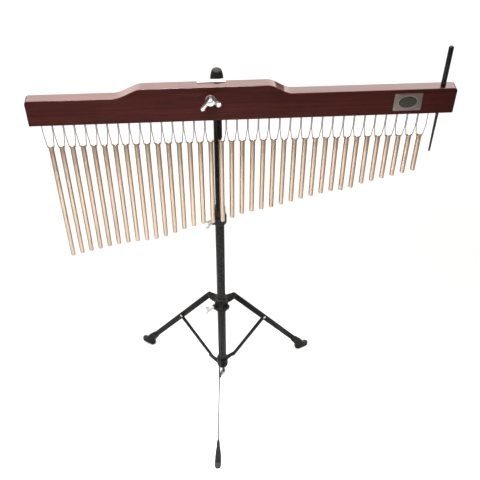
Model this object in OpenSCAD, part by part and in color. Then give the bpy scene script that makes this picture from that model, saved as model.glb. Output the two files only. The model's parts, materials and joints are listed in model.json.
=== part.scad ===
// A row of thirty-six tuned bar chimes, hung from a varnished wooden bar on a folding tripod stand.
// Millimetres, +Z up. The origin is on the floor, under the middle of the whole object's box.

/* [Bar] */
// Length of the wooden bar
bar_l = 761; // [720:1:800]
// Front-to-back thickness of the bar
bar_t = 21.5; // [20:0.5:26]
// Height of the bar at its two ends
bar_end_h = 53; // [45:1:60]
// Height of the bar's raised middle
bar_mid_h = 71; // [66:1:80]
// Height of the bar's underside above the floor
bar_z = 845; // [840:1:880]
// Radius of the bar's top corners
corner_r = 7; // [2:1:12]

/* [Chimes] */
// How many chimes hang in the row
chime_count = 36; // [36:1:36]
// Distance from one chime to the next
pitch = 19.5; // [18:0.5:20]
// Diameter of a chime rod
chime_d = 9.5; // [8:0.5:11]
// Length of the longest chime
longest = 286; // [260:1:300]
// How much shorter each chime is than the one before
taper = 5.66; // [5:0.01:6]
// Gap between the bar's underside and a chime's top
hang_drop = 51; // [40:1:60]
// Diameter of the hanging cord
cord_d = 1.5; // [1:0.1:1.7]

/* [Mast] */
// Diameter of the upper tube
upper_d = 16; // [14:0.5:16]
// Diameter of the lower tube
lower_d = 19; // [19:0.5:21]
// Distance from the bar's back face to the mast's axis
mast_back = 14; // [14:0.5:18]
// Height of the mast cap's top
cap_top = 929; // [927:1:945]

/* [Tripod] */
// Turn of the tripod about the mast, seen from above
tripod_turn = -5.4; // [-10:0.1:10]
// Height of the pivots on the sliding collar
collar_pivot_z = 313.4; // [310:0.1:316]
// Height of the brace pivots on the lower hub
hub_pivot_z = 84.7; // [82:0.1:88]
// Distance of both rings of pivots from the mast's axis
pivot_r = 32; // [31:0.1:34]
// Distance at which a leg's centre line meets the floor
foot_r = 239.4; // [235:0.1:245]
// Distance along a leg from its pivot to the knee
knee_d = 154.4; // [150:0.1:160]
// Width of a leg's flat bar
leg_w = 13.5; // [12:0.5:15]
// Thickness of a leg's flat bar
leg_t = 2.2; // [2:0.1:3]

/* [Striker] */
// Place of the striker's hole along the bar
striker_x = 356; // [354:1:358]
// Height of the striker's top
striker_top = 977; // [960:1:990]
// Height of the striker's tip
striker_tip = 750; // [745:1:760]

/* [Hidden] */
CHIME_NODES = ["chime_01", "chime_02", "chime_03", "chime_04", "chime_05", "chime_06",
               "chime_07", "chime_08", "chime_09", "chime_10", "chime_11", "chime_12",
               "chime_13", "chime_14", "chime_15", "chime_16", "chime_17", "chime_18",
               "chime_19", "chime_20", "chime_21", "chime_22", "chime_23", "chime_24",
               "chime_25", "chime_26", "chime_27", "chime_28", "chime_29", "chime_30",
               "chime_31", "chime_32", "chime_33", "chime_34", "chime_35", "chime_36"];
LEG_NODES = ["leg_front", "leg_right", "leg_left"];
BRACE_NODES = ["brace_front", "brace_right", "brace_left"];
FOOT_NODES = ["foot_front", "foot_right", "foot_left"];

$fn = 48;
run_gap = 0.05;      // clearance of a pin or tube in its bore
side_gap = 0.3;      // clearance between flat parts that move past each other

// Tripod: azimuths, the ground plan's middle, and the linkage.
LEG_AZIMUTHS = [-90 + tripod_turn, 30 + tripod_turn, 150 + tripod_turn];
toe_r = 7.5;
toe_c = 246.5;
heel_c = 224;
mast_x = -45;
mast_y = toe_c * (sin(90 - tripod_turn) - sin(150 + tripod_turn)) / 2;
leg_l = norm([foot_r - pivot_r, collar_pivot_z]);
leg_drop = atan2(collar_pivot_z, foot_r - pivot_r);
leg_end = leg_l - 14;
knee_r = pivot_r + knee_d * cos(leg_drop);
knee_z = collar_pivot_z - knee_d * sin(leg_drop);
brace_l = norm([knee_r - pivot_r, knee_z - hub_pivot_z]);
brace_rise = atan2(knee_z - hub_pivot_z, knee_r - pivot_r);
brace_w = 12;
brace_t = 2;
brace_y = leg_t / 2 + 0.5;
ear_t = 2.2;
rivet_r = 2;

// Bar: faces, the row of holes, and the outline's two S-shaped shoulders.
bar_back = mast_y - mast_back;
bar_front = bar_back - bar_t;
hang_y = bar_front + bar_t / 2;
row_x = -10.5;
hole_r = 2.3;
hole_depth = 16;
peg_recess = 2;
rise_x = -227.5;
rise_w = 55;
fall_x = 86.5;
fall_w = 45;
curve_steps = 14;
corner_steps = 6;

// Clamp: the bolt passes beside the mast, through the bracket and the bar.
bolt_x = -57.8;
bolt_z = bar_z + 47;
bolt_r = 4;
clamp_z0 = bar_z + 21;
clamp_z1 = bar_z + 54;
clamp_r = 12.5;
plate_x = -55.2;
plate_t = 1.5;
plate_w = 50;
flange_d = 6.5;
ear_half_h = 7.5;
ear_depth = 12;
washer_t = 1.2;

// Mast: the tubes' ends and the clutch.
lower_z0 = 65;
lower_z1 = 596;
lower_wall = 1.4;
upper_z0 = 300;
upper_z1 = cap_top - 6;
upper_wall = 1.2;
clutch_z0 = 561;
clutch_z1 = 604;
clutch_screw_z = 568;
clutch_screw_az = -152;

// Collar and hub.
collar_z0 = 284;
collar_z1 = 322;
collar_screw_z = 298;
collar_screw_az = -155;
collar_knob_az = -35;
hub_z0 = 62;
hub_z1 = 98;

function shoulder(t) = (1 - cos(180 * t)) / 2;
function chime_x(i) = row_x + (i - (chime_count - 1) / 2) * pitch;
// Lengths fall evenly, except for a few runs that are a little longer: [middle, half width, extra length].
LONG_RUNS = [[9.3, 2.6, 12.5], [15.8, 1.5, 10], [21, 2.5, 3.5], [28.5, 0.9, 7]];
function extra(i, k = 0) = k == len(LONG_RUNS) ? 0 :
    let (run = LONG_RUNS[k]) run[2] * exp(-pow((i - run[0]) / run[1], 2)) + extra(i, k + 1);
function chime_l(i) = longest - taper * i + extra(i);

bar_outline = concat(
    [[-bar_l / 2, 0], [bar_l / 2, 0]],
    [for (k = [0 : corner_steps]) let (a = 90 * k / corner_steps)
        [bar_l / 2 - corner_r + corner_r * cos(a), bar_end_h - corner_r + corner_r * sin(a)]],
    [for (k = [0 : curve_steps]) let (t = k / curve_steps)
        [fall_x - fall_w * t, bar_end_h + (bar_mid_h - bar_end_h) * shoulder(t)]],
    [for (k = [0 : curve_steps]) let (t = 1 - k / curve_steps)
        [rise_x + rise_w * t, bar_end_h + (bar_mid_h - bar_end_h) * shoulder(t)]],
    [for (k = [0 : corner_steps]) let (a = 90 + 90 * k / corner_steps)
        [-bar_l / 2 + corner_r + corner_r * cos(a), bar_end_h - corner_r + corner_r * sin(a)]]
);

// Places its children in a leg's own plane: X outward from the mast, Y across the leg, Z up.
module at_azimuth(a) {
    translate([mast_x, mast_y, 0])
        rotate([0, 0, a])
            children();
}

// A cylinder across a leg's plane, from y0 to y1.
module cross_pin(x, z, y0, y1, r) {
    translate([x, y1, z])
        rotate([90, 0, 0])
            cylinder(h = y1 - y0, r = r);
}

// A flat plate in a leg's plane, drawn as X-Z points, from y0 to y1.
module cross_plate(points, y0, y1) {
    translate([0, y1, 0])
        rotate([90, 0, 0])
            linear_extrude(y1 - y0)
                polygon(points);
}

// A pair of flared wings round a hub that stands along +Z.
module wings(hub_r, hub_h, tip_r, tip_w, flare, wing_t) {
    for (side = [0, 180])
        rotate([90, 0, side])
            linear_extrude(wing_t, center = true)
                union() {
                    polygon([[0, 1], [hub_r + 1, 1], [tip_r, flare - tip_w / 2],
                             [tip_r - tip_w, flare - tip_w / 2], [hub_r - 1, hub_h - 0.5], [0, hub_h - 0.5]]);
                    translate([tip_r - tip_w / 2, flare - tip_w / 2])
                        circle(r = tip_w / 2, $fn = 32);
                }
}

// A hand screw that stands along +Z, with the end of its shank at the origin.
module hand_screw(shank_l, shank_r) {
    cylinder(h = shank_l + 1, r = shank_r);
    translate([0, 0, shank_l]) {
        cylinder(h = 7, r1 = 4.6, r2 = 3.8);
        wings(4, 6, 12, 6.5, 12, 2.8);
    }
}

module chime(i) {
    x = chime_x(i);
    z1 = bar_z - hang_drop;
    l = chime_l(i);
    r = chime_d / 2;
    edge = 0.7;
    cross_r = cord_d / 2 + 0.55;
    cross_z = z1 - 5;
    color("#cdb397")
        translate([x, hang_y, 0])
            difference() {
                translate([0, 0, z1 - l])
                    rotate_extrude()
                        polygon([[0, 0], [r - edge, 0], [r, edge], [r, l - edge], [r - edge, l], [0, l]]);
                translate([-r - 1, 0, cross_z])
                    rotate([0, 90, 0])
                        cylinder(h = 2 * r + 2, r = cross_r, $fn = 24);
            }
    color("#2a2a2c")
        translate([x, hang_y, 0])
            cord_loop(cross_z + cross_r, bar_z - hang_drop * (0.45 + 0.25 * i / chime_count));
}

// One chime's cord: from the cross hole, whose ceiling is at hole_top, outward to the neighbours' cords
// at split_z, and beside them up to the bar.
module cord_loop(hole_top, split_z) {
    cord_r = cord_d / 2;
    bend = 0.6;
    low_x = chime_d / 2 + cord_r + 0.35;
    low_z = hole_top - cord_r - run_gap;
    high = [pitch / 2 - cord_r - 0.15, bar_z + 0.6];
    path = concat(
        [[-high.x, high.y], [-high.x, split_z]],
        [for (a = [180 : 30 : 270]) [-low_x + bend + bend * cos(a), low_z + bend + bend * sin(a)]],
        [for (a = [270 : 30 : 360]) [low_x - bend + bend * cos(a), low_z + bend + bend * sin(a)]],
        [[high.x, split_z], high]);
    sweep(path, cord_r);
}

// A round tube of radius r along X-Z points.
module sweep(path, r) {
    sides = 8;
    rings = len(path);
    function along(k) = let (d = path[min(k + 1, rings - 1)] - path[max(k - 1, 0)]) d / norm(d);
    vertices = [for (k = [0 : rings - 1]) for (j = [0 : sides - 1])
        let (t = along(k), a = 360 * j / sides)
            [path[k].x + r * cos(a) * t.y, r * sin(a), path[k].y - r * cos(a) * t.x]];
    walls = [for (k = [0 : rings - 2]) for (j = [0 : sides - 1]) let (n = (j + 1) % sides)
        [k * sides + j, (k + 1) * sides + j, (k + 1) * sides + n, k * sides + n]];
    caps = [[for (j = [0 : sides - 1]) j], [for (j = [sides - 1 : -1 : 0]) (rings - 1) * sides + j]];
    polyhedron(vertices, concat(walls, caps));
}

module wood_bar() {
    color("#44211c")
        difference() {
            translate([0, bar_back, bar_z])
                rotate([90, 0, 0])
                    linear_extrude(bar_t)
                        polygon(bar_outline);
            for (k = [0 : chime_count])
                translate([chime_x(k) - pitch / 2, hang_y, bar_z - 1])
                    cylinder(h = hole_depth + 1, r = hole_r, $fn = 24);
            translate([striker_x, hang_y, bar_z - 1])
                cylinder(h = bar_end_h + 2, r = 3.1);
            translate([bolt_x, bar_back + 1, bolt_z])
                rotate([90, 0, 0])
                    cylinder(h = bar_t + 2, r = bolt_r + 0.2);
        }
}

// Pegs that hold the cord ends fast in the bar's blind holes.
module cord_pegs() {
    color("#8a6a48")
        for (k = [0 : chime_count])
            translate([chime_x(k) - pitch / 2, hang_y, bar_z + peg_recess])
                cylinder(h = hole_depth - peg_recess - run_gap, r = hole_r - run_gap, $fn = 24);
}

module name_plate() {
    color("#b9b6b0")
        translate([269, bar_front - 1, bar_z + 9])
            cube([50.5, 1, 36.5]);
}

// A folded plate on the bar's back and top, with a split sleeve that grips the upper tube.
module mount_bracket() {
    color("#d9d7d2")
        difference() {
            union() {
                translate([plate_x - plate_w / 2, bar_back, bar_z + 8])
                    cube([plate_w, plate_t, bar_mid_h - 8 + plate_t]);
                translate([plate_x - plate_w / 2, bar_back - flange_d, bar_z + bar_mid_h])
                    cube([plate_w, flange_d + 1, plate_t]);
                translate([mast_x, mast_y, clamp_z0])
                    cylinder(h = clamp_z1 - clamp_z0, r = clamp_r);
                translate([bolt_x - 8, bar_back + 1, bolt_z - ear_half_h])
                    cube([16, mast_back + ear_depth - 1, 2 * ear_half_h]);
            }
            translate([mast_x, mast_y, clamp_z0 - 1])
                cylinder(h = clamp_z1 - clamp_z0 + 2, r = upper_d / 2 + run_gap);
            translate([mast_x - 30, mast_y - 1, clamp_z0 - 1])
                cube([30, 2, clamp_z1 - clamp_z0 + 2]);
            translate([bolt_x, mast_y + 30, bolt_z])
                rotate([90, 0, 0])
                    cylinder(h = 60, r = bolt_r + 0.1);
        }
}

module clamp_bolt() {
    color("#c9c8c4")
        translate([bolt_x, mast_y + ear_depth, bolt_z])
            rotate([90, 0, 0]) {
                cylinder(h = mast_back + bar_t + ear_depth + 8, r = bolt_r);
                translate([0, 0, -4])
                    cylinder(h = 4, r = 7, $fn = 6);
            }
}

// A domed nut with two thick wings, and the washer behind it.
module wing_nut() {
    nut_y = bar_front - 0.1 - washer_t - 0.1;
    nut_h = 14;
    dome_r = 4;
    color("#d4d0c8") {
        translate([bolt_x, bar_front - 0.1, bolt_z])
            rotate([90, 0, 0])
                difference() {
                    cylinder(h = washer_t, r = 8.6);
                    translate([0, 0, -1])
                        cylinder(h = washer_t + 2, r = bolt_r + 0.2);
                }
        translate([bolt_x, nut_y, bolt_z])
            rotate([90, -14, 0])
                difference() {
                    union() {
                        rotate_extrude()
                            polygon(concat(
                                [[0, 0], [8, 0]],
                                [for (a = [0 : 15 : 90])
                                    [6.8 - dome_r + dome_r * cos(a), nut_h - dome_r + dome_r * sin(a)]],
                                [[0, nut_h]]));
                        wings(7, 13.5, 19, 9, 27, 4.6);
                    }
                    translate([0, 0, -1])
                        cylinder(h = 9, r = bolt_r + run_gap);
                }
    }
}

module mast_cap() {
    base_z = clamp_z1 + 2;
    cap_h = cap_top - base_z;
    round_r = 4;
    top_r = 9.2;
    color("#1b1b1b")
        translate([mast_x, mast_y, base_z])
            difference() {
                rotate_extrude()
                    polygon(concat(
                        [[0, 0], [11.8, 0], [11.8, cap_h - 15], [10.9, cap_h - 9]],
                        [for (a = [15 : 15 : 90])
                            [top_r - round_r + round_r * cos(a), cap_h - round_r + round_r * sin(a)]],
                        [[0, cap_h]]));
                translate([0, 0, -1])
                    cylinder(h = upper_z1 - base_z + 1 + run_gap, r = upper_d / 2 + run_gap);
            }
}

module upper_tube() {
    color("#1c1c1c")
        translate([mast_x, mast_y, upper_z0])
            difference() {
                cylinder(h = upper_z1 - upper_z0, r = upper_d / 2);
                translate([0, 0, -1])
                    cylinder(h = upper_z1 - upper_z0 + 2, r = upper_d / 2 - upper_wall);
            }
}

module lower_tube() {
    color("#1c1c1c")
        difference() {
            translate([mast_x, mast_y, lower_z0])
                cylinder(h = lower_z1 - lower_z0, r = lower_d / 2);
            translate([mast_x, mast_y, lower_z0 - 1])
                cylinder(h = lower_z1 - lower_z0 + 2, r = lower_d / 2 - lower_wall);
            translate([0, 0, clutch_screw_z])
                at_azimuth(clutch_screw_az)
                    rotate([0, 90, 0])
                        cylinder(h = lower_d, r = 2.7);
        }
}

module height_clutch() {
    z0 = clutch_z0;
    h = clutch_z1 - clutch_z0;
    seat = lower_z1 - clutch_z0;
    color("#191919")
        difference() {
            union() {
                translate([mast_x, mast_y, z0])
                    rotate_extrude()
                        polygon([[0, 0], [13.5, 0], [14.6, 1.5], [14.6, 19], [12.2, 24], [12.2, h - 2],
                                 [11, h], [0, h]]);
                translate([0, 0, clutch_screw_z])
                    at_azimuth(clutch_screw_az)
                        rotate([0, 90, 0])
                            cylinder(h = 19, r = 6);
            }
            translate([mast_x, mast_y, z0 - 1])
                cylinder(h = seat + 1, r = lower_d / 2 + run_gap);
            translate([mast_x, mast_y, z0])
                cylinder(h = h + 1, r = upper_d / 2 + run_gap);
            translate([0, 0, clutch_screw_z])
                at_azimuth(clutch_screw_az)
                    rotate([0, 90, 0])
                        cylinder(h = 30, r = 2.5 + run_gap);
        }
}

module clutch_wing_screw() {
    color("#cfcdc8")
        translate([0, 0, clutch_screw_z])
            at_azimuth(clutch_screw_az)
                translate([upper_d / 2 + 0.2, 0, 0])
                    rotate([0, 90, 0])
                        hand_screw(12, 2.5);
}

module leg_collar() {
    ear_y = leg_t / 2 + side_gap;
    ear = [[11, collar_z0 + 14], [11, collar_z1], [pivot_r - 4, collar_pivot_z + 5.5],
           [pivot_r + 5, collar_pivot_z - 3], [pivot_r - 4, collar_pivot_z - 12]];
    color("#232321")
        difference() {
            union() {
                translate([mast_x, mast_y, collar_z0])
                    rotate_extrude()
                        polygon([[0, 0], [13, 0], [15.5, 3], [15.5, 20], [14, 23], [14, collar_z1 - collar_z0],
                                 [0, collar_z1 - collar_z0]]);
                translate([0, 0, collar_screw_z])
                    at_azimuth(collar_screw_az)
                        rotate([0, 90, 0])
                            cylinder(h = 20, r = 6.5);
                translate([0, 0, collar_screw_z])
                    at_azimuth(collar_knob_az)
                        rotate([0, 90, 0])
                            rotate_extrude()
                                polygon([[0, 0], [5, 0], [5, 15], [6.5, 15.5], [6.5, 18], [5, 19.5], [0, 19.5]]);
                for (a = LEG_AZIMUTHS)
                    at_azimuth(a)
                        for (y0 = [-ear_y - ear_t, ear_y]) {
                            cross_plate(ear, y0, y0 + ear_t);
                            cross_pin(pivot_r, collar_pivot_z, y0, y0 + ear_t, 5.8);
                        }
            }
            translate([mast_x, mast_y, collar_z0 - 1])
                cylinder(h = collar_z1 - collar_z0 + 2, r = lower_d / 2 + 0.1);
            translate([0, 0, collar_screw_z])
                at_azimuth(collar_screw_az)
                    rotate([0, 90, 0])
                        cylinder(h = 30, r = 2.5 + run_gap);
            for (a = LEG_AZIMUTHS)
                at_azimuth(a)
                    cross_pin(pivot_r, collar_pivot_z, -9, 9, rivet_r);
        }
    color("#9a9994")
        for (a = LEG_AZIMUTHS)
            at_azimuth(a) {
                reach = ear_y + ear_t;
                cross_pin(pivot_r, collar_pivot_z, -reach - 0.1, reach + 0.1, rivet_r - run_gap);
                for (y0 = [-reach - 1.3, reach + 0.1])
                    cross_pin(pivot_r, collar_pivot_z, y0, y0 + 1.2, 3.4);
            }
}

module collar_wing_screw() {
    color("#cfcdc8")
        translate([0, 0, collar_screw_z])
            at_azimuth(collar_screw_az)
                translate([lower_d / 2 + 0.2, 0, 0])
                    rotate([0, 90, 0])
                        hand_screw(19, 2.5);
}

module lower_hub() {
    ear_y = brace_y + brace_t + side_gap;
    ear = [[10, hub_z0 + 6], [10, hub_z0 + 24], [pivot_r - 3, hub_pivot_z + 5.4],
           [pivot_r + 3, hub_pivot_z - 4.6], [pivot_r - 6, hub_pivot_z - 9]];
    color("#20201f")
        difference() {
            union() {
                translate([mast_x, mast_y, hub_z0])
                    rotate_extrude()
                        polygon([[0, 0], [9, 0], [12.5, 5], [13.5, 10], [13.5, hub_z1 - hub_z0 - 3],
                                 [12, hub_z1 - hub_z0], [0, hub_z1 - hub_z0]]);
                for (a = LEG_AZIMUTHS)
                    at_azimuth(a) {
                        cross_plate(ear, ear_y, ear_y + ear_t);
                        cross_pin(pivot_r, hub_pivot_z, ear_y, ear_y + ear_t, 5.6);
                    }
            }
            translate([mast_x, mast_y, lower_z0])
                cylinder(h = hub_z1, r = lower_d / 2 + run_gap);
            for (a = LEG_AZIMUTHS)
                at_azimuth(a)
                    cross_pin(pivot_r, hub_pivot_z, 0, 12, rivet_r);
        }
    color("#9a9994")
        for (a = LEG_AZIMUTHS)
            at_azimuth(a) {
                cross_pin(pivot_r, hub_pivot_z, brace_y, ear_y + ear_t + 0.1, rivet_r - run_gap);
                cross_pin(pivot_r, hub_pivot_z, ear_y + ear_t + 0.1, ear_y + ear_t + 1.3, 3.4);
            }
}

// A flat bar that is round at its pivot and carries the knee rivet's inner head.
module leg(a) {
    color("#1d1d1d")
        at_azimuth(a)
            translate([pivot_r, 0, collar_pivot_z])
                rotate([0, leg_drop, 0])
                    difference() {
                        union() {
                            translate([0, -leg_t / 2, -leg_w / 2])
                                cube([leg_end, leg_t, leg_w]);
                            cross_pin(0, 0, -leg_t / 2, leg_t / 2, leg_w / 2);
                        }
                        cross_pin(0, 0, -leg_t, leg_t, rivet_r + run_gap);
                        cross_pin(knee_d, 0, -leg_t, leg_t, rivet_r);
                    }
    color("#9a9994")
        at_azimuth(a) {
            cross_pin(knee_r, knee_z, -leg_t / 2, leg_t / 2, rivet_r - run_gap);
            cross_pin(knee_r, knee_z, -leg_t / 2 - 1.3, -leg_t / 2, 3.4);
        }
}

// A flat strut that is round at both ends and carries the knee rivet's outer head.
module brace(a) {
    color("#1d1d1d")
        at_azimuth(a)
            translate([pivot_r, 0, hub_pivot_z])
                rotate([0, -brace_rise, 0])
                    difference() {
                        union() {
                            translate([0, brace_y, -brace_w / 2])
                                cube([brace_l, brace_t, brace_w]);
                            cross_pin(0, 0, brace_y, brace_y + brace_t, brace_w / 2);
                            cross_pin(brace_l, 0, brace_y, brace_y + brace_t, brace_w / 2);
                        }
                        cross_pin(0, 0, brace_y - 1, brace_y + brace_t + 1, rivet_r + run_gap);
                        cross_pin(brace_l, 0, brace_y - 1, brace_y + brace_t + 1, rivet_r);
                    }
    color("#9a9994")
        at_azimuth(a) {
            cross_pin(knee_r, knee_z, brace_y, brace_y + brace_t, rivet_r - run_gap);
            cross_pin(knee_r, knee_z, brace_y + brace_t, brace_y + brace_t + 1.3, 3.4);
        }
}

// A rubber boot: a flat sole on the floor and a sleeve that tapers up the leg's end.
module foot(a) {
    waist_at = leg_l - 26;
    mouth_at = leg_l - 58;
    color("#161616")
        at_azimuth(a)
            difference() {
                union() {
                    hull() {
                        translate([toe_c, 0, 0])
                            cylinder(h = 8.7, r = toe_r, $fn = 32);
                        translate([heel_c, 0, 0])
                            cylinder(h = 12, r = toe_r, $fn = 32);
                        translate([pivot_r, 0, collar_pivot_z])
                            rotate([0, leg_drop, 0])
                                translate([waist_at, -5.5, -10])
                                    cube([4, 11, 20]);
                    }
                    hull()
                        translate([pivot_r, 0, collar_pivot_z])
                            rotate([0, leg_drop, 0]) {
                                translate([waist_at, -5.5, -10])
                                    cube([4, 11, 20]);
                                translate([mouth_at, -3, -8.5])
                                    cube([2, 6, 17]);
                            }
                }
                translate([pivot_r, 0, collar_pivot_z])
                    rotate([0, leg_drop, 0])
                        translate([mouth_at - 1, -leg_t / 2 - run_gap, -leg_w / 2 - run_gap])
                            cube([leg_end - mouth_at + 1 + run_gap, leg_t + 2 * run_gap, leg_w + 2 * run_gap]);
            }
}

// The beater: a thick handle above the bar and a thin shaft through it.
module striker() {
    shoulder_z = bar_z + bar_end_h + 0.2;
    shaft_r = 2.75;
    grip_r = 4.5;
    color("#141414")
        translate([striker_x, hang_y, 0])
            rotate_extrude()
                polygon([[0, striker_tip], [1.4, striker_tip], [2, striker_tip + 1], [shaft_r, bar_z - 10],
                         [shaft_r, shoulder_z], [grip_r, shoulder_z], [grip_r, striker_top - 2],
                         [grip_r - 1.5, striker_top], [0, striker_top]]);
}

for (i = [0 : chime_count - 1])
    chime(i);
for (k = [0 : 2]) {
    leg(LEG_AZIMUTHS[k]);
    brace(LEG_AZIMUTHS[k]);
    foot(LEG_AZIMUTHS[k]);
}
wood_bar();
cord_pegs();
name_plate();
mount_bracket();
clamp_bolt();
wing_nut();
mast_cap();
upper_tube();
height_clutch();
clutch_wing_screw();
lower_tube();
leg_collar();
collar_wing_screw();
lower_hub();
striker();
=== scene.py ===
import json
import math

import bmesh
import bpy
from mathutils import Matrix, Vector


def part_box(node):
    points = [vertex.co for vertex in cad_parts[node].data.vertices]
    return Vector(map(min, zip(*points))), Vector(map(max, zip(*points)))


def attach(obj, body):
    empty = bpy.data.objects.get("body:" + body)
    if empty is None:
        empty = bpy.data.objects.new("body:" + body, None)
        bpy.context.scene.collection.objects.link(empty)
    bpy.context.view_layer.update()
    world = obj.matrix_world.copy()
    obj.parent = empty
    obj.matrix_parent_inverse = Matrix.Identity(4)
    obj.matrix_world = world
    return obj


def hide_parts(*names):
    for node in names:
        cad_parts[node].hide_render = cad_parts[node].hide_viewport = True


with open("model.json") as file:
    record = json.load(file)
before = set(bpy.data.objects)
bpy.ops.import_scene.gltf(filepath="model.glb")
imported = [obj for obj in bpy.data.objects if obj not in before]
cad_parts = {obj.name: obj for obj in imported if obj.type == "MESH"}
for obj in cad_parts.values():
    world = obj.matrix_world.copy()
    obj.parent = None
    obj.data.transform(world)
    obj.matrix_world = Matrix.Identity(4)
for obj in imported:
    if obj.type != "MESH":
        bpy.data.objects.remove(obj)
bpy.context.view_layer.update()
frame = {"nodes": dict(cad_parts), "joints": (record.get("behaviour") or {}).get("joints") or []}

MM = 0.001
NODES = frame["nodes"]
JOINTS = {j["name"]: j for j in frame["joints"]}


# ---------------------------------------------------------------- places, from the frame

BAR_LO, BAR_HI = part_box("wood_bar")
TUBE_LO, TUBE_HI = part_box("upper_tube")
MAST = Vector(((TUBE_LO.x + TUBE_HI.x) / 2, (TUBE_LO.y + TUBE_HI.y) / 2, 0))
HANG_Y = (BAR_LO.y + BAR_HI.y) / 2
END_H = 53 * MM                  # height of the bar's ends
CHIMES = sorted(n for n in NODES if n.startswith("chime_"))
HANG_DROP = 51 * MM              # from the bar's underside to a chime's top
SIDES = ("front", "right", "left")
LEG_REACH = 207.4 * MM           # from a collar pivot out to where the leg meets the floor
KNEE = 154.4 * MM                # from a collar pivot along the leg to the knee
LEG_T = 2.2 * MM
BRACE_T = 2 * MM
BRACE_Y = LEG_T / 2 + 0.5 * MM   # the brace lies beside the leg
KNEE_RIVET = (3.4 * MM, 1.3 * MM)    # radius and height of its heads


# ---------------------------------------------------------------- camera and light

def make_camera():
    """Looks down at the object from the front, a little to its left."""
    pitch, yaw, roll = 0.78466, -0.06338, 0.00462
    ahead = Vector((-math.sin(yaw) * math.cos(pitch), math.cos(yaw) * math.cos(pitch), -math.sin(pitch)))
    level = Vector((math.cos(yaw), math.sin(yaw), 0))
    upward = level.cross(ahead)
    right = math.cos(roll) * level + math.sin(roll) * upward
    up = math.cos(roll) * upward - math.sin(roll) * level
    data = bpy.data.cameras.new("camera")
    data.sensor_width = 36
    data.lens = 59.0
    camera = bpy.data.objects.new("camera", data)
    camera.matrix_world = Matrix.Translation((-0.0777, -1.1317, 1.689)) @ Matrix(
        (right, up, -ahead)).transposed().to_4x4()
    bpy.context.scene.collection.objects.link(camera)
    bpy.context.scene.camera = camera


def softbox(name, place, target, width, height, power, beam=180, colour=(1, 1, 1)):
    """An area light that points at target and shines within a beam of that many degrees."""
    data = bpy.data.lights.new(name, "AREA")
    data.shape = "RECTANGLE"
    data.size = width
    data.size_y = height
    data.energy = power
    data.spread = math.radians(beam)
    data.color = colour
    light = bpy.data.objects.new(name, data)
    light.location = place
    light.rotation_euler = (Vector(target) - Vector(place)).to_track_quat("-Z", "Y").to_euler()
    bpy.context.scene.collection.objects.link(light)


def make_studio():
    """Even light from all round, four softboxes and a wide grey floor."""
    world = bpy.data.worlds.new("studio")
    world.use_nodes = True
    world.node_tree.nodes["Background"].inputs["Color"].default_value = (1, 1, 1, 1)
    world.node_tree.nodes["Background"].inputs["Strength"].default_value = 0.50
    bpy.context.scene.world = world
    softbox("overhead", (0, 1.9, 6.0), (0, 1.9, 0), 6.0, 6.0, 760)
    softbox("bar_sheen", (0.17, 2.6, 2.35), (0, 0, 0.9), 6.0, 1.5, 215, colour=(1, 0.87, 0.82))
    softbox("front_floor", (-0.25, -0.7, 2.6), (-0.25, -0.7, 0), 0.8, 0.6, 46, beam=50)
    softbox("fill_left", (-2.6, -1.0, 2.0), (0, 0, 0.6), 1.6, 2.0, 25)
    bpy.context.scene.view_settings.view_transform = "Standard"
    bm = bmesh.new()
    floor_half = 9
    bmesh.ops.create_grid(bm, x_segments=1, y_segments=1, size=floor_half)
    mesh = bpy.data.meshes.new("floor")
    bm.to_mesh(mesh)
    bm.free()
    floor = bpy.data.objects.new("floor", mesh)
    floor.location.z = -0.5 * MM
    bpy.context.scene.collection.objects.link(floor)
    paint, _, bsdf = new_material("floor_paint")
    bsdf.inputs["Base Color"].default_value = (0.34, 0.34, 0.34, 1)
    bsdf.inputs["Roughness"].default_value = 0.9
    bsdf.inputs["Specular IOR Level"].default_value = 0.1
    mesh.materials.append(paint)


# ---------------------------------------------------------------- materials

def new_material(name):
    """A material with its node tree and its shader node."""
    material = bpy.data.materials.new(name)
    material.use_nodes = True
    return material, material.node_tree, material.node_tree.nodes["Principled BSDF"]


def noise(tree, scale, stretch=(1, 1, 1), detail=4.0, rough=0.55):
    """A noise texture in the object's own metres, stretched along an axis. Returns its grey output."""
    place = tree.nodes.new("ShaderNodeTexCoord")
    mapping = tree.nodes.new("ShaderNodeMapping")
    mapping.inputs["Scale"].default_value = stretch
    grain = tree.nodes.new("ShaderNodeTexNoise")
    grain.inputs["Scale"].default_value = scale
    grain.inputs["Detail"].default_value = detail
    grain.inputs["Roughness"].default_value = rough
    tree.links.new(place.outputs["Object"], mapping.inputs["Vector"])
    tree.links.new(mapping.outputs["Vector"], grain.inputs["Vector"])
    return grain.outputs["Fac"]


def ramp(tree, value, stops):
    """Colours, or greys where a stop holds one number, along a 0 to 1 value."""
    node = tree.nodes.new("ShaderNodeValToRGB")
    while len(node.color_ramp.elements) < len(stops):
        node.color_ramp.elements.new(0.5)
    for element, (at, colour) in zip(node.color_ramp.elements, stops):
        element.position = at
        colour = (colour,) * 3 if isinstance(colour, (int, float)) else colour
        element.color = (*colour, 1)
    tree.links.new(value, node.inputs["Fac"])
    return node.outputs["Color"]


def spread(tree, value, low, high, start=0.3, end=0.7):
    """Maps a noise value to a plain number between low and high."""
    node = tree.nodes.new("ShaderNodeMapRange")
    node.inputs["From Min"].default_value = start
    node.inputs["From Max"].default_value = end
    node.inputs["To Min"].default_value = low
    node.inputs["To Max"].default_value = high
    tree.links.new(value, node.inputs["Value"])
    return node.outputs["Result"]


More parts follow.
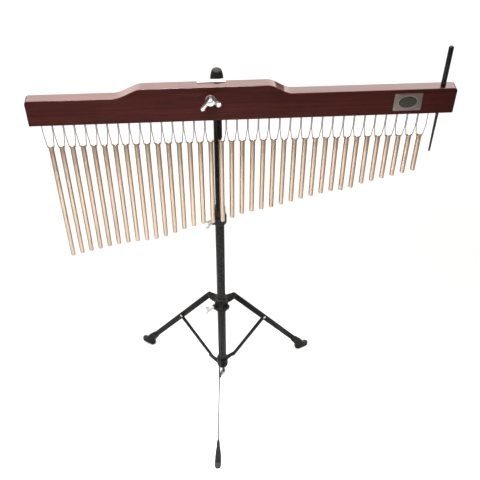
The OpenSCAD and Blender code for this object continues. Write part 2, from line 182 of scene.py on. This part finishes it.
def mix(tree, factor, a, b, mode="MIX"):
    """Mixes two colours, each of them a socket or a plain colour."""
    node = tree.nodes.new("ShaderNodeMix")
    node.data_type = "RGBA"
    node.blend_type = mode
    for socket, value in ((node.inputs[0], factor), (node.inputs[6], a), (node.inputs[7], b)):
        if isinstance(value, bpy.types.NodeSocket):
            tree.links.new(value, socket)
        elif isinstance(value, tuple):
            socket.default_value = (*value, 1)
        else:
            socket.default_value = value
    return node.outputs[2]


def bump(tree, bsdf, value, height, strength=0.5):
    """Relief of that height in metres, from a grey value."""
    node = tree.nodes.new("ShaderNodeBump")
    node.inputs["Distance"].default_value = height
    node.inputs["Strength"].default_value = strength
    tree.links.new(value, node.inputs["Height"])
    tree.links.new(node.outputs["Normal"], bsdf.inputs["Normal"])


def worn_edges(tree, amount=0.5):
    """1 on convex edges, 0 elsewhere, broken up by noise."""
    geometry = tree.nodes.new("ShaderNodeNewGeometry")
    edge = ramp(tree, geometry.outputs["Pointiness"], [(0.56, 0), (0.66, amount)])
    return mix(tree, 1.0, edge, ramp(tree, noise(tree, 260, detail=5), [(0.42, 0), (0.62, 1)]), "MULTIPLY")


def top_faces(tree, sides, top):
    """One number on upright faces and another on those that look up."""
    geometry = tree.nodes.new("ShaderNodeNewGeometry")
    split = tree.nodes.new("ShaderNodeSeparateXYZ")
    tree.links.new(geometry.outputs["Normal"], split.inputs["Vector"])
    return spread(tree, split.outputs["Z"], sides, top)


def mahogany():
    """Dark red wood with figure, streaks and pores along X. The varnish shines most on top."""
    material, tree, bsdf = new_material("varnished_mahogany")
    figure = ramp(tree, noise(tree, 9, (0.35, 2.2, 2.2), 5), [
        (0.25, (0.027, 0.0042, 0.0030)), (0.50, (0.043, 0.0072, 0.0050)), (0.78, (0.062, 0.0120, 0.0078))])
    streaks = ramp(tree, noise(tree, 60, (0.10, 4.5, 4.5), 6, 0.65), [(0.30, 0.42), (0.62, 1.0)])
    pores = noise(tree, 420, (0.06, 3, 3), 2)
    wood = mix(tree, 0.8, figure, streaks, "MULTIPLY")
    tree.links.new(mix(tree, 0.5, wood, ramp(tree, pores, [(0.34, 0.35), (0.46, 1.0)]), "MULTIPLY"),
                   bsdf.inputs["Base Color"])
    tree.links.new(spread(tree, noise(tree, 35, detail=3), 0.30, 0.46), bsdf.inputs["Roughness"])
    bsdf.inputs["Specular IOR Level"].default_value = 0.02
    tree.links.new(top_faces(tree, 0.06, 0.60), bsdf.inputs["Coat Weight"])
    bsdf.inputs["Coat Roughness"].default_value = 0.08
    bump(tree, bsdf, pores, 0.00006, 0.35)
    return material


def raw_wood():
    """Pale wood with its grain along Z."""
    material, tree, bsdf = new_material("raw_peg_wood")
    tree.links.new(ramp(tree, noise(tree, 300, (1, 1, 0.1), 4), [
        (0.3, (0.36, 0.24, 0.13)), (0.7, (0.52, 0.38, 0.22))]), bsdf.inputs["Base Color"])
    bsdf.inputs["Roughness"].default_value = 0.75
    return material


def chime_metal():
    """Pale bronze rod metal with fine draw marks along Z."""
    material, tree, bsdf = new_material("champagne_rod")
    cloud = noise(tree, 14, (1, 1, 0.5), 3)
    draw = noise(tree, 900, (1, 1, 0.02), 3)
    tone = ramp(tree, cloud, [(0.3, (0.285, 0.218, 0.158)), (0.7, (0.35, 0.270, 0.195))])
    tree.links.new(mix(tree, 0.25, tone, ramp(tree, draw, [(0.3, 0.55), (0.7, 1.0)]), "MULTIPLY"),
                   bsdf.inputs["Base Color"])
    bsdf.inputs["Metallic"].default_value = 1.0
    tree.links.new(spread(tree, draw, 0.16, 0.26), bsdf.inputs["Roughness"])
    bump(tree, bsdf, draw, 0.00003, 0.25)
    return material


def bright_metal(name, tone, rough, lay=(1, 1, 1)):
    """Plated or bare bright metal with fine scratches and faint handling marks."""
    material, tree, bsdf = new_material(name)
    marks = noise(tree, 60, detail=5)
    scratch = noise(tree, 1400, lay, 2)
    low = tuple(c * 0.82 for c in tone)
    tree.links.new(ramp(tree, marks, [(0.3, low), (0.65, tone)]), bsdf.inputs["Base Color"])
    bsdf.inputs["Metallic"].default_value = 1.0
    tree.links.new(spread(tree, scratch, rough * 0.75, rough * 1.4), bsdf.inputs["Roughness"])
    bump(tree, bsdf, scratch, 0.00002, 0.2)
    return material


def black_finish(name, base, rough, grain_scale, grain_height, shine, wear=0.25,
                 worn=(0.10, 0.097, 0.094)):
    """Black paint or plastic: fine texture, uneven sheen, and edges rubbed lighter."""
    material, tree, bsdf = new_material(name)
    grain = noise(tree, grain_scale, detail=3)
    patches = noise(tree, 28, detail=4)
    tone = ramp(tree, patches, [(0.3, tuple(c * 0.8 for c in base)), (0.7, tuple(c * 1.3 for c in base))])
    tree.links.new(mix(tree, worn_edges(tree, wear), tone, worn), bsdf.inputs["Base Color"])
    tree.links.new(spread(tree, patches, rough * 0.85, rough * 1.2), bsdf.inputs["Roughness"])
    bsdf.inputs["Specular IOR Level"].default_value = shine
    bump(tree, bsdf, grain, grain_height, 0.4)
    return material


def nylon_cord():
    """Black cord with a fine woven surface."""
    material, tree, bsdf = new_material("braided_nylon")
    weave = noise(tree, 2600, detail=2)
    tree.links.new(ramp(tree, weave, [(0.3, (0.006, 0.0065, 0.0065)), (0.7, (0.018, 0.019, 0.019))]),
                   bsdf.inputs["Base Color"])
    bsdf.inputs["Roughness"].default_value = 0.7
    bsdf.inputs["Specular IOR Level"].default_value = 0.15
    bump(tree, bsdf, weave, 0.00008, 0.5)
    return material


make_camera()
make_studio()
MAHOGANY = mahogany()
PEG_WOOD = raw_wood()
ROD = chime_metal()
CORD = nylon_cord()
NICKEL = bright_metal("nickel_plate", (0.80, 0.78, 0.74), 0.24)
SATIN = bright_metal("satin_plate", (0.82, 0.80, 0.74), 0.50)
PLATE = bright_metal("brushed_plate", (0.155, 0.128, 0.110), 0.36, (0.03, 1, 1))
TRIM = bright_metal("aged_trim", (0.23, 0.195, 0.170), 0.34)
RIVET = bright_metal("dull_steel", (0.42, 0.41, 0.39), 0.38)
PAINT = black_finish("black_powder_coat", (0.0028, 0.0028, 0.0028), 0.42, 1500, 0.00005, 0.04)
PLASTIC = black_finish("black_moulded_plastic", (0.006, 0.006, 0.006), 0.42, 2200, 0.00002, 0.08, wear=0.1)
LACQUER = black_finish("black_lacquer", (0.005, 0.005, 0.005), 0.22, 900, 0.00001, 0.14, wear=0.15)
RUBBER = black_finish("moulded_rubber", (0.006, 0.006, 0.0058), 0.60, 1800, 0.00007, 0.1, wear=0.4,
                      worn=(0.07, 0.07, 0.067))
ENAMEL = black_finish("dark_enamel", (0.026, 0.021, 0.018), 0.3, 900, 0.00002, 0.15)


# ---------------------------------------------------------------- mesh tools

def lathe(bm, profile, place=Matrix.Identity(4), segments=40):
    """Turns (radius, height) points about the local Z axis. A zero radius closes an end to a point."""
    rings = []
    for radius, height in profile:
        if radius < 1e-7:
            rings.append([bm.verts.new(place @ Vector((0, 0, height)))])
            continue
        rings.append([bm.verts.new(place @ Vector((
            radius * math.cos(math.tau * k / segments), radius * math.sin(math.tau * k / segments), height)))
            for k in range(segments)])
    for low, high in zip(rings, rings[1:]):
        for k in range(segments):
            n = (k + 1) % segments
            if len(low) == 1:
                bm.faces.new((low[0], high[n], high[k]))
            elif len(high) == 1:
                bm.faces.new((low[k], low[n], high[0]))
            else:
                bm.faces.new((low[k], low[n], high[n], high[k]))


def arc(cx, cy, radius, start, end, steps):
    """Points of an arc, in degrees."""
    return [(cx + radius * math.cos(math.radians(start + (end - start) * k / steps)),
             cy + radius * math.sin(math.radians(start + (end - start) * k / steps)))
            for k in range(steps + 1)]


def prism(bm, outline, y0, y1, place=Matrix.Identity(4), bevel=0.0, segments=2):
    """A plate with an X-Z outline between y0 and y1, its sharp edges rounded."""
    part = bmesh.new()
    front = [part.verts.new((x, y0, z)) for x, z in outline]
    face = part.faces.new(front)
    extruded = bmesh.ops.extrude_face_region(part, geom=[face])
    moved = [v for v in extruded["geom"] if isinstance(v, bmesh.types.BMVert)]
    bmesh.ops.translate(part, verts=moved, vec=(0, y1 - y0, 0))
    bmesh.ops.recalc_face_normals(part, faces=part.faces)
    if bevel:
        sharp = [e for e in part.edges if len(e.link_faces) == 2 and e.calc_face_angle() > math.radians(40)]
        bmesh.ops.bevel(part, geom=sharp, offset=bevel, segments=segments, profile=0.5, affect="EDGES")
    bmesh.ops.transform(part, matrix=place, verts=part.verts)
    absorb(bm, part)


def absorb(bm, part):
    """Adds another bmesh to bm and frees it."""
    mesh = bpy.data.meshes.new("part")
    part.to_mesh(mesh)
    part.free()
    bm.from_mesh(mesh)
    bpy.data.meshes.remove(mesh)


def loft(bm, rings):
    """Joins rings of equal length into a skin and closes both ends."""
    made = [[bm.verts.new(p) for p in ring] for ring in rings]
    count = len(made[0])
    for low, high in zip(made, made[1:]):
        for k in range(count):
            n = (k + 1) % count
            bm.faces.new((low[k], low[n], high[n], high[k]))
    bm.faces.new(list(reversed(made[0])))
    bm.faces.new(made[-1])


def tube(bm, path, radius, sides=8, offset=None):
    """A round tube along 3-D points. offset(k) moves ring k's centre in its own plane."""
    rings = []
    for k, point in enumerate(path):
        along = (path[min(k + 1, len(path) - 1)] - path[max(k - 1, 0)]).normalized()
        side = along.cross(Vector((0, 1, 0))).normalized()
        over = side.cross(along)
        a, b = offset(k) if offset else (0, 0)
        centre = point + side * a + over * b
        rings.append([centre + side * (radius * math.cos(math.tau * j / sides))
                      + over * (radius * math.sin(math.tau * j / sides)) for j in range(sides)])
    loft(bm, rings)


def piece(name, bm, material, body, slot, *nodes, crease=35):
    """Finishes a mesh: outward normals, smooth faces with crisp creases, its material, body and nodes."""
    bmesh.ops.recalc_face_normals(bm, faces=bm.faces)
    for face in bm.faces:
        face.smooth = True
    for edge in bm.edges:
        edge.smooth = len(edge.link_faces) == 2 and edge.calc_face_angle() < math.radians(crease)
    mesh = bpy.data.meshes.new(name)
    bm.to_mesh(mesh)
    bm.free()
    mesh.materials.append(material)
    made = bpy.data.objects.new(name, mesh)
    bpy.context.scene.collection.objects.link(made)
    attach(made, body)
    if nodes:
        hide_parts(*nodes)
    return made


def flatten_faces(made):
    """Keeps large flat faces flat beside their rounded edges."""
    weighted = made.modifiers.new("weighted", "WEIGHTED_NORMAL")
    weighted.keep_sharp = True


def drill(target, cutter):
    """Cuts one bmesh out of a finished piece, and keeps the result as its mesh."""
    mesh = bpy.data.meshes.new("cutter")
    bmesh.ops.recalc_face_normals(cutter, faces=cutter.faces)
    cutter.to_mesh(mesh)
    cutter.free()
    tool = bpy.data.objects.new("cutter", mesh)
    bpy.context.scene.collection.objects.link(tool)
    cut = target.modifiers.new("drill", "BOOLEAN")
    cut.operation = "DIFFERENCE"
    cut.solver = "EXACT"
    cut.object = tool
    bpy.context.view_layer.update()
    result = bpy.data.meshes.new_from_object(target.evaluated_get(bpy.context.evaluated_depsgraph_get()))
    target.modifiers.clear()
    target.data = result
    bpy.data.objects.remove(tool)
    bpy.data.meshes.remove(mesh)


def cylinder(bm, start, end, radius, segments=24):
    """A closed round bar from one point to another."""
    axis = Vector(end) - Vector(start)
    place = Matrix.Translation(start) @ axis.to_track_quat("Z", "Y").to_matrix().to_4x4()
    lathe(bm, [(0, 0), (radius, 0), (radius, axis.length), (0, axis.length)], place, segments)


def axes(origin, x, y, z):
    """A placement whose local axes are the given directions."""
    return Matrix.Translation(origin) @ Matrix((x, y, z)).transposed().to_4x4()


# ---------------------------------------------------------------- the bar

def shoulder(t):
    """An S-curve that rises from 0 to 1."""
    return (1 - math.cos(math.pi * t)) / 2


def bar_outline():
    """The bar's front view: square ends with rounded tops, and a raised middle between two S-curves."""
    corner = 7 * MM
    steps = 20
    low, rise = END_H, BAR_HI.z - BAR_LO.z - END_H
    left, right = BAR_LO.x, BAR_HI.x
    right_foot, right_run = 86.5, 45     # where each shoulder starts and how far it runs, in mm
    left_top, left_run = -172.5, 55
    points = [(left, 0), (right, 0)]
    points += arc(right - corner, low - corner, corner, 0, 90, 8)
    points += [((right_foot - right_run * k / steps) * MM, low + rise * shoulder(k / steps))
               for k in range(steps + 1)]
    points += [((left_top - left_run * k / steps) * MM, low + rise * shoulder(1 - k / steps))
               for k in range(steps + 1)]
    points += arc(left + corner, low - corner, corner, 90, 180, 8)
    return points


def make_bar():
    """The wooden bar with its holes for the pegs, the striker and the clamp's bolt."""
    edge = 1.6 * MM
    peg_r, peg_depth = 2.3 * MM, 15 * MM
    striker_r, bolt_r = 3.1 * MM, 4.2 * MM
    bm = bmesh.new()
    prism(bm, bar_outline(), BAR_LO.y, BAR_HI.y, Matrix.Translation((0, 0, BAR_LO.z)), edge, 4)
    bar = piece("wood_bar_body", bm, MAHOGANY, "chime_bar", "varnished_wood", "wood_bar")
    cutter = bmesh.new()
    first = (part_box(CHIMES[0])[0].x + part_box(CHIMES[0])[1].x) / 2
    last = (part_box(CHIMES[-1])[0].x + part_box(CHIMES[-1])[1].x) / 2
    step = (last - first) / (len(CHIMES) - 1)
    for k in range(len(CHIMES) + 1):
        x = first + (k - 0.5) * step
        cylinder(cutter, (x, HANG_Y, BAR_LO.z - MM), (x, HANG_Y, BAR_LO.z + peg_depth), peg_r)
    lo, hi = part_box("striker")
    x = (lo.x + hi.x) / 2
    cylinder(cutter, (x, HANG_Y, BAR_LO.z - MM), (x, HANG_Y, BAR_HI.z), striker_r, 32)
    bolt_lo, bolt_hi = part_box("clamp_bolt")
    x, z = (bolt_lo.x + bolt_hi.x) / 2, (bolt_lo.z + bolt_hi.z) / 2
    cylinder(cutter, (x, BAR_LO.y - MM, z), (x, BAR_HI.y + MM, z), bolt_r, 32)
    drill(bar, cutter)
    flatten_faces(bar)


# ---------------------------------------------------------------- the chimes

def cord_path(low_x, low_z, high_x, high_z, split_z):
    """Short steps along one chime's cord, in X and Z about the chime's axis."""
    bend = 0.6 * MM
    corners = [(-high_x, high_z), (-high_x, split_z)]
    corners += arc(-low_x + bend, low_z + bend, bend, 180, 270, 4)
    corners += arc(low_x - bend, low_z + bend, bend, 270, 360, 4)
    corners += [(high_x, split_z), (high_x, high_z)]
    path = []
    for (x0, z0), (x1, z1) in zip(corners, corners[1:]):
        steps = max(1, round(math.hypot(x1 - x0, z1 - z0) / (0.8 * MM)))
        path += [(x0 + (x1 - x0) * k / steps, z0 + (z1 - z0) * k / steps) for k in range(steps)]
    return path + [corners[-1]]


def make_chime(name, rank):
    """A rod with its cross hole, and its two-ply cord. The rank rises from 0, at the longest, to 1."""
    lo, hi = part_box(name)
    x = (lo.x + hi.x) / 2
    radius = (hi.y - lo.y) / 2
    top = BAR_LO.z - HANG_DROP
    edge = 0.8 * MM
    hole_z, hole_r = top - 5 * MM, 1.3 * MM
    bm = bmesh.new()
    profile = [(0, lo.z)] + arc(radius - edge, lo.z + edge, edge, -90, 0, 4)
    profile += arc(radius - edge, top - edge, edge, 0, 90, 4) + [(0, top)]
    lathe(bm, profile, Matrix.Translation((x, HANG_Y, 0)), 40)
    rod = piece(name + "_rod", bm, ROD, name, "chime_metal", name)
    cutter = bmesh.new()
    cylinder(cutter, (x - 2 * radius, HANG_Y, hole_z), (x + 2 * radius, HANG_Y, hole_z), hole_r, 20)
    drill(rod, cutter)

    cord_r = 0.75 * MM
    low_x = radius + cord_r + 0.35 * MM
    low_z = hole_z + hole_r - cord_r - 0.05 * MM
    high_x, high_z = 8.85 * MM, BAR_LO.z + 1.2 * MM
    split_z = BAR_LO.z - HANG_DROP * (0.45 + 0.25 * rank)
    path = [Vector((x + px, HANG_Y, pz)) for px, pz in cord_path(low_x, low_z, high_x, high_z, split_z)]
    ply_r, ply_off = 0.50 * MM, 0.24 * MM
    twist = 0.9                          # radians from one step of the path to the next
    bm = bmesh.new()
    for start in (0, math.pi):
        tube(bm, path, ply_r, 6, lambda k: (
            ply_off * math.cos(start + twist * k), ply_off * math.sin(start + twist * k)))
    piece(name + "_cord", bm, CORD, name, "cord", name, crease=80)


# ---------------------------------------------------------------- plate and hardware on the bar

def rounded_box(width, height, corner, steps=5):
    """A rounded rectangle about the origin."""
    w, h = width / 2 - corner, height / 2 - corner
    return (arc(w, -h, corner, -90, 0, steps) + arc(w, h, corner, 0, 90, steps)
            + arc(-w, h, corner, 90, 180, steps) + arc(-w, -h, corner, 180, 270, steps))


def ellipse(half_w, half_h, steps=48):
    """An ellipse about the origin."""
    turns = [math.tau * k / steps for k in range(steps)]
    return [(half_w * math.cos(a), half_h * math.sin(a)) for a in turns]


def make_name_plate():
    """A blank plate with four pins and a plain dark oval in a plain rim."""
    pin_inset = 3 * MM
    lo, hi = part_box("name_plate")
    centre = Vector(((lo.x + hi.x) / 2, 0, (lo.z + hi.z) / 2))
    width, height = hi.x - lo.x, hi.z - lo.z
    face = lo.y + 0.2 * MM
    place = Matrix.Translation(centre)
    bm = bmesh.new()
    prism(bm, rounded_box(width, height, 2.5 * MM), face, hi.y, place, 0.3 * MM)
    piece("name_plate_blank", bm, PLATE, "chime_bar", "brushed_plate", "name_plate")
    bm = bmesh.new()
    prism(bm, ellipse(0.33 * width, 0.34 * height), lo.y + 0.1 * MM, face + 0.1 * MM, place)
    piece("name_plate_oval", bm, ENAMEL, "chime_bar", "brushed_plate", "name_plate")
    bm = bmesh.new()
    prism(bm, ellipse(0.36 * width, 0.38 * height), lo.y + 0.15 * MM, face + 0.1 * MM, place)
    for sx in (-1, 1):
        for sz in (-1, 1):
            pin = centre + Vector((sx * (width / 2 - pin_inset), face, sz * (height / 2 - pin_inset)))
            lathe(bm, [(1.1 * MM, -0.2 * MM), (1.0 * MM, 0.05 * MM), (0.6 * MM, 0.16 * MM), (0, 0.19 * MM)],
                  axes(pin, Vector((1, 0, 0)), Vector((0, 0, 1)), Vector((0, -1, 0))), 20)
    piece("name_plate_trim", bm, TRIM, "chime_bar", "brushed_plate", "name_plate")


def wing(bm, place, hub_r, root, tip_r, ear, flare, thick):
    """One rounded wing that leans out from the hub, in the local X-Z plane, Z along the screw."""
    inner = hub_r * 0.6
    outline = [(inner, 0.8 * MM), (hub_r + 1.2 * MM, 1.4 * MM)]
    outline += arc(tip_r - ear, flare - ear, ear, -40, 170, 10)
    outline += [(inner, root)]
    prism(bm, outline, -thick / 2, thick / 2, place, thick * 0.34, 3)


def winged_hub(bm, place, base_r, top_r, height, dome, tip_r, ear, flare, thick, bore_r=0.0, bore_h=0.0):
    """A domed hub along local Z with two wings, and a blind bore from below if it has one."""
    profile = [(0, bore_h), (bore_r, bore_h), (bore_r, 0)] if bore_r else [(0, 0)]
    profile += [(base_r - 0.5 * MM, 0), (base_r, 0.5 * MM)]
    profile += arc(top_r - dome, height - dome, dome, 0, 90, 6) + [(0, height)]
    lathe(bm, profile, place, 36)
    for turn in (0, math.pi):
        wing(bm, place @ Matrix.Rotation(turn, 4, "Z"), base_r * 0.9, height * 0.9, tip_r, ear, flare, thick)


def make_wing_nut():
    """The clamp's wing nut on its washer, in front of the bar."""
    lo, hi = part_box("clamp_bolt")
    x, z = (lo.x + hi.x) / 2, (lo.z + hi.z) / 2
    seat = BAR_LO.y - 0.1 * MM
    hole_r, washer_r, washer_t = 4.2 * MM, 8.6 * MM, 1.2 * MM
    rim = 0.2 * MM
    outward = Vector((0, -1, 0))
    turn = math.radians(14)
    wing_dir = Vector((math.cos(turn), 0, math.sin(turn)))
    bm = bmesh.new()
    lathe(bm, [(hole_r, 0), (washer_r - rim, 0), (washer_r, rim), (washer_r, washer_t - rim),
               (washer_r - rim, washer_t), (hole_r, washer_t), (hole_r, 0)],
          axes((x, seat, z), wing_dir, outward.cross(wing_dir), outward), 40)
    piece("wing_nut_washer", bm, NICKEL, "wing_nut", "nickel", "wing_nut")
    bm = bmesh.new()
    winged_hub(bm, axes((x, seat - washer_t - 0.1 * MM, z), wing_dir, outward.cross(wing_dir), outward),
               base_r=8.0 * MM, top_r=6.8 * MM, height=14 * MM, dome=4 * MM,
               tip_r=18.9 * MM, ear=4.6 * MM, flare=26.8 * MM, thick=4.6 * MM,
               bore_r=4.05 * MM, bore_h=8 * MM)
    piece("wing_nut_body", bm, NICKEL, "wing_nut", "nickel", "wing_nut")


def make_hand_screw(node, joint, shank_from, shank_l, body):
    """A wing screw that stands out from the mast along its joint's axis."""
    facts = JOINTS[joint]
    outward = Vector(facts["axis"])
    start = Vector((MAST.x, MAST.y, facts["pos_m"][2])) + outward * shank_from
    down = Vector((0, 0, -1))
    place = axes(start, down, outward.cross(down), outward)
    bm = bmesh.new()
    threads = 14
    root_r, crest_r = 2.15 * MM, 2.5 * MM
    profile = [(0, 0)]
    for k in range(threads):
        z = shank_l * k / threads
        profile += [(root_r, z), (crest_r, z + shank_l / threads / 2)]
    profile += [(crest_r, shank_l + MM), (0, shank_l + MM)]
    lathe(bm, profile, place, 28)
    winged_hub(bm, place @ Matrix.Translation((0, 0, shank_l)),
               base_r=4.6 * MM, top_r=3.8 * MM, height=7 * MM, dome=MM,
               tip_r=12 * MM, ear=3.3 * MM, flare=12 * MM, thick=2.8 * MM)
    piece(node + "_body", bm, RIVET, body, "nickel", node)


# ---------------------------------------------------------------- the mast

def make_mast_cap():
    """The plastic cap on the upper tube, a tapered plug with a rounded rim."""
    lo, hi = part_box("mast_cap")
    bore_r, edge = 8.05 * MM, 0.6 * MM
    rim_centre, rim_r = 6.4 * MM, 2.8 * MM
    base_r = (hi.x - lo.x) / 2
    height = hi.z - lo.z
    profile = [(bore_r, 0), (base_r - edge, 0), (base_r, edge), (base_r, height - 15 * MM),
               (base_r - 0.9 * MM, height - 9 * MM)]
    profile += arc(rim_centre, height - 3 * MM, rim_r, 10, 84, 6) + [(0, height)]
    bm = bmesh.new()
    lathe(bm, profile, Matrix.Translation((MAST.x, MAST.y, lo.z)), 48)
    piece("mast_cap_body", bm, PLASTIC, "upper_mast", "black_plastic", "mast_cap")


def make_striker():
    """The striker: a thick grip above the bar and a thin shank that hangs through it."""
    lo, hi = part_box("striker")
    tip_r, shank_r, top_round = 1.9 * MM, 2.75 * MM, 3 * MM
    edge, groove_half = 0.6 * MM, 0.5 * MM
    x = (lo.x + hi.x) / 2
    grip = (hi.x - lo.x) / 2
    shoulder_z = BAR_LO.z + END_H + 0.2 * MM
    taper_z = BAR_LO.z - 10 * MM
    profile = [(0, lo.z)] + arc(0, lo.z + tip_r, tip_r, -60, 0, 4)
    profile += [(shank_r, taper_z), (shank_r, shoulder_z), (grip - edge, shoulder_z),
                (grip, shoulder_z + edge)]
    for groove in (10 * MM, 13 * MM):
        z = shoulder_z + groove
        profile += [(grip, z - groove_half), (grip - groove_half, z), (grip, z + groove_half)]
    profile += arc(grip - top_round, hi.z - top_round, top_round, 0, 90, 6) + [(0, hi.z)]
    bm = bmesh.new()
    lathe(bm, profile, Matrix.Translation((x, HANG_Y, 0)), 36)
    piece("striker_body", bm, LACQUER, "striker", "black_gloss", "striker")


# ---------------------------------------------------------------- legs, braces and feet

def leg_frame(side):
    """Placement of a leg's own axes at its collar pivot: X down the leg, Y across it."""
    facts = JOINTS["leg_%s_fold" % side]
    across = Vector(facts["axis"])
    outward = Vector((across.y, -across.x, 0))
    pivot = Vector(facts["pos_m"])
    along = (outward * LEG_REACH - Vector((0, 0, pivot.z))).normalized()
    return pivot, outward, across, along


def bolt_head(bm, centre, axis, radius, height):
    """A low domed rivet head that rises from centre along axis."""
    side = Vector((0, 0, 1)).cross(axis).normalized()
    place = axes(centre, side, axis.cross(side), axis)
    lathe(bm, [(0, 0), (radius, 0), (radius, 0.25 * height), (0.8 * radius, 0.75 * height),
               (0.45 * radius, height), (0, height)], place, 24)


def make_leg(side):
    """A flat leg from its collar pivot into its boot, with the knee rivet's inner head."""
    pivot, _, across, along = leg_frame(side)
    sole_gap = 14 * MM                   # the leg ends this far short of the floor, inside its boot
    length = math.hypot(LEG_REACH, pivot.z) - sole_gap
    half = 6.75 * MM
    outline = arc(0, 0, half, 90, 270, 12) + [(length, -half), (length, half)]
    body = "leg_" + side
    bm = bmesh.new()
    prism(bm, outline, -LEG_T / 2, LEG_T / 2, axes(pivot, along, across, along.cross(across)), 0.5 * MM)
    piece(body + "_bar", bm, PAINT, body, "black_paint", body)
    bm = bmesh.new()
    bolt_head(bm, pivot + along * KNEE - across * (LEG_T / 2), -across, *KNEE_RIVET)
    piece(body + "_knee_rivet", bm, RIVET, body, "nickel", body)


def make_brace(side):
    """A flat brace from the lower hub to the knee, with the knee rivet's outer head."""
    pivot, _, across, along = leg_frame(side)
    knee = pivot + along * KNEE
    hub = Vector(JOINTS["brace_%s_fold" % side]["pos_m"])
    rise = knee - hub
    length = rise.length
    rise.normalize()
    half = 6 * MM
    outline = arc(0, 0, half, 90, 270, 10) + arc(length, 0, half, -90, 90, 10)
    body = "brace_" + side
    bm = bmesh.new()
    prism(bm, outline, BRACE_Y, BRACE_Y + BRACE_T, axes(hub, rise, across, rise.cross(across)), 0.45 * MM)
    piece(body + "_bar", bm, PAINT, body, "black_paint", body)
    bm = bmesh.new()
    bolt_head(bm, knee + across * (BRACE_Y + BRACE_T), across, *KNEE_RIVET)
    piece(body + "_knee_rivet", bm, RIVET, body, "nickel", body)


def make_foot(side):
    """A rubber boot: a rounded sleeve that widens into a wedge, on a thick flat sole with a toe ledge."""
    pivot, outward, across, along = leg_frame(side)
    up = Vector((0, 0, 1))
    over = along.cross(across)
    leg_l = math.hypot(LEG_REACH, pivot.z)
    base = Vector((MAST.x, MAST.y, 0))
    body = "leg_" + side

    def ring(centre, first, second, half_a, half_b, square=2.6, count=32):
        """A squarish oval about centre, in the plane of two directions."""
        points = []
        for k in range(count):
            c, s = math.cos(math.tau * k / count), math.sin(math.tau * k / count)
            a = math.copysign(abs(c) ** (2 / square), c) * half_a
            b = math.copysign(abs(s) ** (2 / square), s) * half_b
            points.append(centre + first * a + second * b)
        return points

    bm = bmesh.new()
    # Distance back from the leg's end, half width and half depth, in mm
    sleeve = [(58, 1.9, 7.3), (57.5, 3.0, 8.4), (53, 3.3, 8.6), (52, 3.9, 9.2), (49, 3.9, 9.2),
              (48, 3.5, 8.9), (40, 4.6, 9.6), (30, 6.2, 10.6)]
    rings = [ring(pivot + along * (leg_l - back * MM), across, over, wide * MM, deep * MM)
             for back, wide, deep in sleeve]
    # The wedge's two lowest rings: one slopes down to the toe, the other lies flat inside the sole
    rings.append(ring(base + outward * 229 * MM + up * 14 * MM, across, (outward - 0.35 * up).normalized(),
                      half_a=7.0 * MM, half_b=15 * MM, square=2.8))
    rings.append(ring(base + outward * 231.5 * MM + up * 7 * MM, across, outward,
                      half_a=7.2 * MM, half_b=16.5 * MM, square=3))
    loft(bm, rings)
    sole_h = 8.5 * MM
    heel, toe, wide = 224 * MM, 246.5 * MM, 7.5 * MM
    outline = arc(toe, 0, wide, -90, 90, 14) + arc(heel, 0, wide, 90, 270, 14)
    prism(bm, outline, 0, sole_h, axes(base, outward, up, outward.cross(up)), 0.9 * MM, 3)
    piece("foot_%s_boot" % side, bm, RUBBER, body, "rubber", "foot_" + side)


def keep_cad(node, material, edge=0.0):
    """A CAD node that stays shown takes a detailed material on all its slots, and rounded edges."""
    if edge:
        soften = NODES[node].modifiers.new("soften", "BEVEL")
        soften.width = edge
        soften.segments = 2
        soften.limit_method = "ANGLE"
        soften.angle_limit = math.radians(38)
        flatten_faces(NODES[node])
    mesh = NODES[node].data
    if not mesh.materials:
        mesh.materials.append(material)
    for k in range(len(mesh.materials)):
        mesh.materials[k] = material


make_bar()
for count, chime in enumerate(CHIMES):
    make_chime(chime, count / len(CHIMES))
make_name_plate()
make_wing_nut()
make_hand_screw("clutch_wing_screw", "clutch_screw_turn", 8.2 * MM, 12 * MM, "clutch_wing_screw")
make_hand_screw("collar_wing_screw", "collar_screw_turn", 9.7 * MM, 19 * MM, "collar_wing_screw")
make_mast_cap()
make_striker()
for leg_side in SIDES:
    make_leg(leg_side)
    make_brace(leg_side)
    make_foot(leg_side)
keep_cad("cord_pegs", PEG_WOOD)
keep_cad("mount_bracket", SATIN, 0.4 * MM)
keep_cad("clamp_bolt", NICKEL, 0.4 * MM)
keep_cad("upper_tube", PAINT)
keep_cad("lower_tube", PAINT)
keep_cad("height_clutch", PLASTIC, 0.5 * MM)
keep_cad("leg_collar", PAINT, 0.4 * MM)
keep_cad("lower_hub", PAINT, 0.4 * MM)
